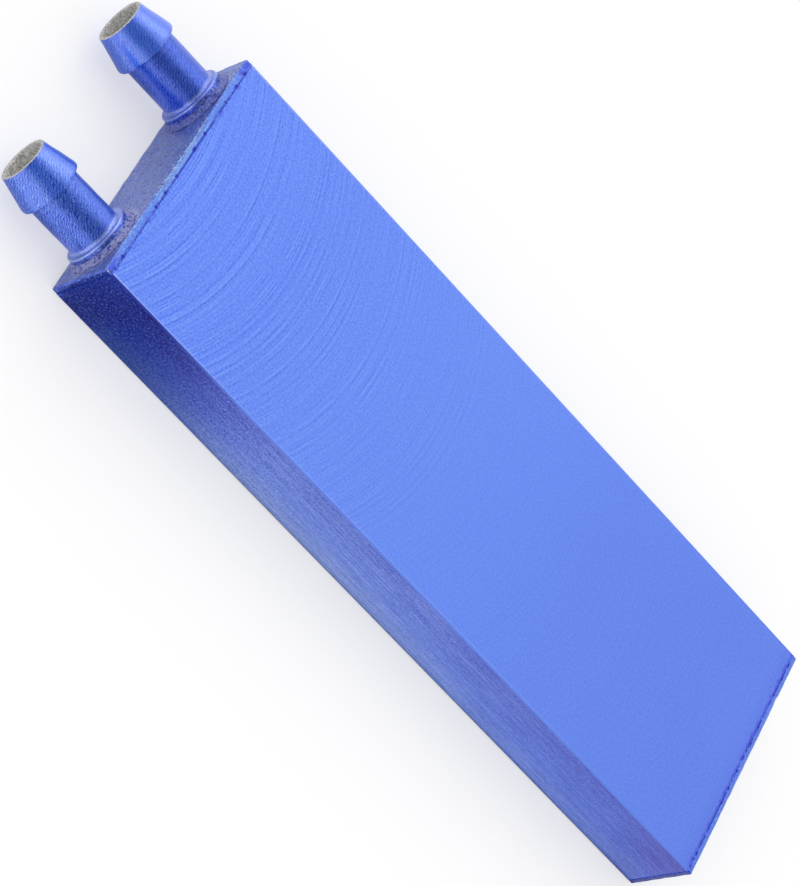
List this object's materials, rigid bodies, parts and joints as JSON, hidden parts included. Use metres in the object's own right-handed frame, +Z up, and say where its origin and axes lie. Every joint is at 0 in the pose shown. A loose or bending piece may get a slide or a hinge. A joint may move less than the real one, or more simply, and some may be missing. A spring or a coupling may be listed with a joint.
{
  "type": "liquid cooling cold plate",
  "caption": "Flat aluminium water block with coolant channels inside, brazed end caps and hose barbs side by side on one end.",
  "frame": {"origin": "centre of the lower broad face of the extruded bar", "axes": "+X along the bar, away from the hose barbs; +Y across it, towards the outlet barb; +Z up, out of the upper broad face"},
  "size_m": [0.1375, 0.04, 0.012],
  "materials": {
    "body_anodised": "light blue anodised over fly-cut faces, satin",
    "cap_anodised": "slate blue anodised over a blasted face, matt",
    "seam_braze": "dark blue brazing metal, pitted",
    "barb_anodised": "blue anodised over a blasted, turned surface, satin; bare metal in the bore",
    "ring_braze": "mottled grey-blue brazing metal, rough"
  },
  "bodies": {
    "root": {"channel_body": "body_anodised", "port_end_cap": "cap_anodised", "return_end_cap": "cap_anodised", "port_end_seam": "seam_braze", "return_end_seam": "seam_braze", "inlet_barb": "barb_anodised", "outlet_barb": "barb_anodised", "inlet_braze_ring": "ring_braze", "outlet_braze_ring": "ring_braze"}
  },
  "joints": []
}
